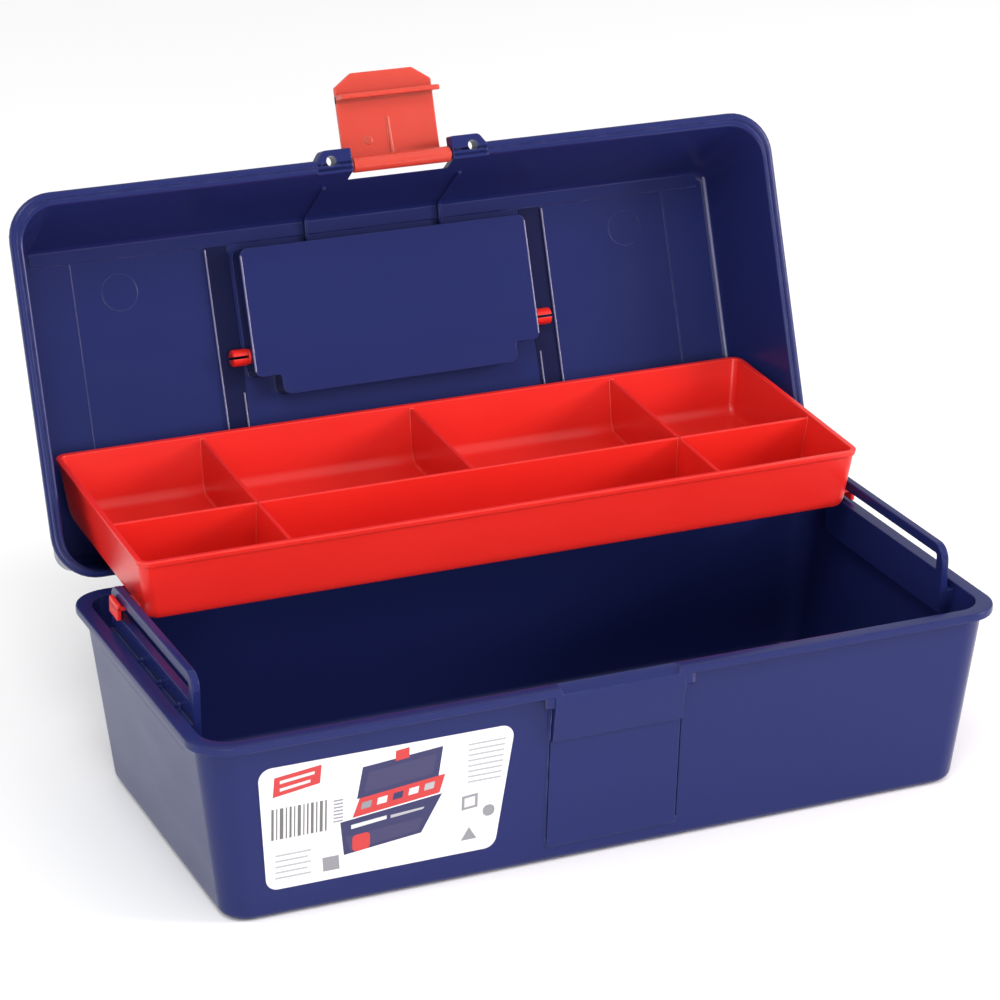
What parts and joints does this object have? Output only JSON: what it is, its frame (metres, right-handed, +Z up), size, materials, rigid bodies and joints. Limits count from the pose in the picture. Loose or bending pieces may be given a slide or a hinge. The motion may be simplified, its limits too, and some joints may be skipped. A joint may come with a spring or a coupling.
{
  "type": "toolbox with tray",
  "caption": "Small moulded hand toolbox with a hinged lid, hook latch, folding bail handle in a recess and a compartment tray on slotted rails.",
  "frame": {"origin": "centre of the tub's underside, on the surface that the box stands on", "axes": "+X along the length to the box's right-hand end, +Y to the hinge side, +Z up"},
  "size_m": [0.312, 0.2438, 0.2319],
  "materials": {
    "navy_plastic": "satin moulded polypropylene",
    "red_plastic": "smooth moulded polypropylene",
    "pin_steel": "bright drawn wire",
    "label_paper": "printed film label"
  },
  "bodies": {
    "tub": {"tub": "navy_plastic", "hinge_pin_left": "pin_steel", "hinge_pin_right": "pin_steel", "label": "label_paper"},
    "lid": {"lid": "navy_plastic"},
    "tray": {"tray": "red_plastic"},
    "latch": {"latch": "red_plastic"},
    "handle": {"handle": "red_plastic"}
  },
  "joints": [
    {"name": "lid_hinge", "type": "hinge", "parent": "tub", "child": "lid", "pos_m": [0, 0.07506, 0.0692], "axis": [1, 0, 0], "range_deg": [0, 110]},
    {"name": "tray_slide", "type": "slide", "parent": "tub", "child": "tray", "axis": [0, -0.9986, -0.0523], "range_m": [0, 0.07]},
    {"name": "latch_hinge", "type": "hinge", "parent": "lid", "child": "latch", "pos_m": [0, 0.12767, 0.20176], "axis": [1, 0, 0], "range_deg": [0, 90]},
    {"name": "handle_hinge", "type": "hinge", "parent": "lid", "child": "handle", "pos_m": [0, 0.13618, 0.12779], "axis": [1, 0, 0], "range_deg": [0, 90]}
  ],
  "couplings": [
    {"joint": "tray_slide", "follows": "lid_hinge", "m_per_rad": 0.03645}
  ]
}
